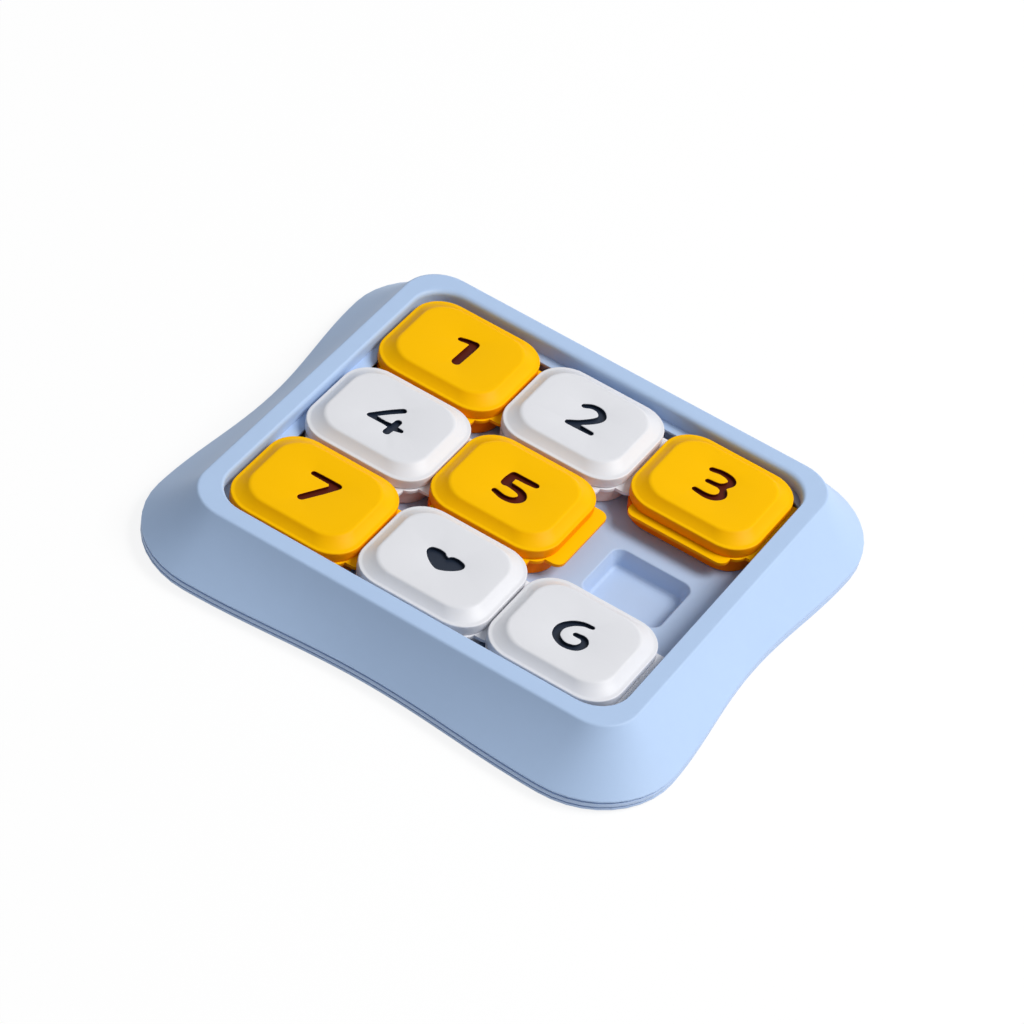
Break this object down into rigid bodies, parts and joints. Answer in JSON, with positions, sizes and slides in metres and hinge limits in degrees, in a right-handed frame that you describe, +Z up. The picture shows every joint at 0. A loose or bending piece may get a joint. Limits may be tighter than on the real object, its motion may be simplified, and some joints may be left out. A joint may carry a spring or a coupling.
{
  "type": "dog puzzle feeder toy",
  "caption": "Sliding-tile treat puzzle for dogs: flared frame on a tray with treat pits, covered by interlocking number tiles that slide into the empty cell.",
  "frame": {"origin": "on the table under the middle of the frame", "axes": "+X across the columns in the digits' reading direction, +Y up the rows towards the tops of the digits, +Z up"},
  "size_m": [0.301, 0.2786, 0.0362],
  "materials": {
    "frame_plastic": "satin moulded, pale blue",
    "tray_plastic": "satin moulded, pale blue",
    "screw_steel": "zinc plated",
    "foot_rubber": "matt grey-blue",
    "yellow_plastic": "satin moulded, warm yellow",
    "white_plastic": "satin moulded, white"
  },
  "bodies": {
    "feeder": {"top_frame": "frame_plastic", "bottom_tray": "tray_plastic", "frame_screws": "screw_steel", "foot_front_left": "foot_rubber", "foot_front_right": "foot_rubber", "foot_back_left": "foot_rubber", "foot_back_right": "foot_rubber"},
    "tile_1": {"tile_1_cap": "yellow_plastic", "tile_1_slide_plate": "yellow_plastic", "tile_1_base": "yellow_plastic", "tile_1_pegs": "yellow_plastic"},
    "tile_2": {"tile_2_cap": "white_plastic", "tile_2_slide_plate": "white_plastic", "tile_2_base": "white_plastic", "tile_2_pegs": "white_plastic"},
    "tile_3": {"tile_3_cap": "yellow_plastic", "tile_3_slide_plate": "yellow_plastic", "tile_3_base": "yellow_plastic", "tile_3_pegs": "yellow_plastic"},
    "tile_4": {"tile_4_cap": "white_plastic", "tile_4_slide_plate": "white_plastic", "tile_4_base": "white_plastic", "tile_4_pegs": "white_plastic"},
    "tile_5": {"tile_5_cap": "yellow_plastic", "tile_5_slide_plate": "yellow_plastic", "tile_5_base": "yellow_plastic", "tile_5_pegs": "yellow_plastic"},
    "tile_7": {"tile_7_cap": "yellow_plastic", "tile_7_slide_plate": "yellow_plastic", "tile_7_base": "yellow_plastic", "tile_7_pegs": "yellow_plastic"},
    "tile_heart": {"tile_heart_cap": "white_plastic", "tile_heart_slide_plate": "white_plastic", "tile_heart_base": "white_plastic", "tile_heart_pegs": "white_plastic"},
    "tile_6": {"tile_6_cap": "white_plastic", "tile_6_slide_plate": "white_plastic", "tile_6_base": "white_plastic", "tile_6_pegs": "white_plastic"}
  },
  "joints": [
    {"name": "tile_1_play", "type": "slide", "parent": "feeder", "child": "tile_1", "axis": [0, 1, 0], "range_m": [-0.001, 0.001]},
    {"name": "tile_2_play", "type": "slide", "parent": "feeder", "child": "tile_2", "axis": [0, 1, 0], "range_m": [-0.001, 0.001]},
    {"name": "tile_3_slide", "type": "slide", "parent": "feeder", "child": "tile_3", "axis": [0, 1, 0], "range_m": [-0.0688, 0]},
    {"name": "tile_4_slide", "type": "slide", "parent": "feeder", "child": "tile_4", "axis": [1, 0, 0], "range_m": [0, 0.0757]},
    {"name": "tile_5_slide", "type": "slide", "parent": "feeder", "child": "tile_5", "axis": [1, 0, 0], "range_m": [0, 0.0757]},
    {"name": "tile_7_play", "type": "slide", "parent": "feeder", "child": "tile_7", "axis": [0, 1, 0], "range_m": [-0.001, 0.001]},
    {"name": "tile_heart_play", "type": "slide", "parent": "feeder", "child": "tile_heart", "axis": [0, 1, 0], "range_m": [-0.001, 0.001]},
    {"name": "tile_6_play", "type": "slide", "parent": "feeder", "child": "tile_6", "axis": [0, 1, 0], "range_m": [-0.001, 0.001]}
  ],
  "couplings": [
    {"joint": "tile_4_slide", "follows": "tile_5_slide", "ratio": 1}
  ]
}
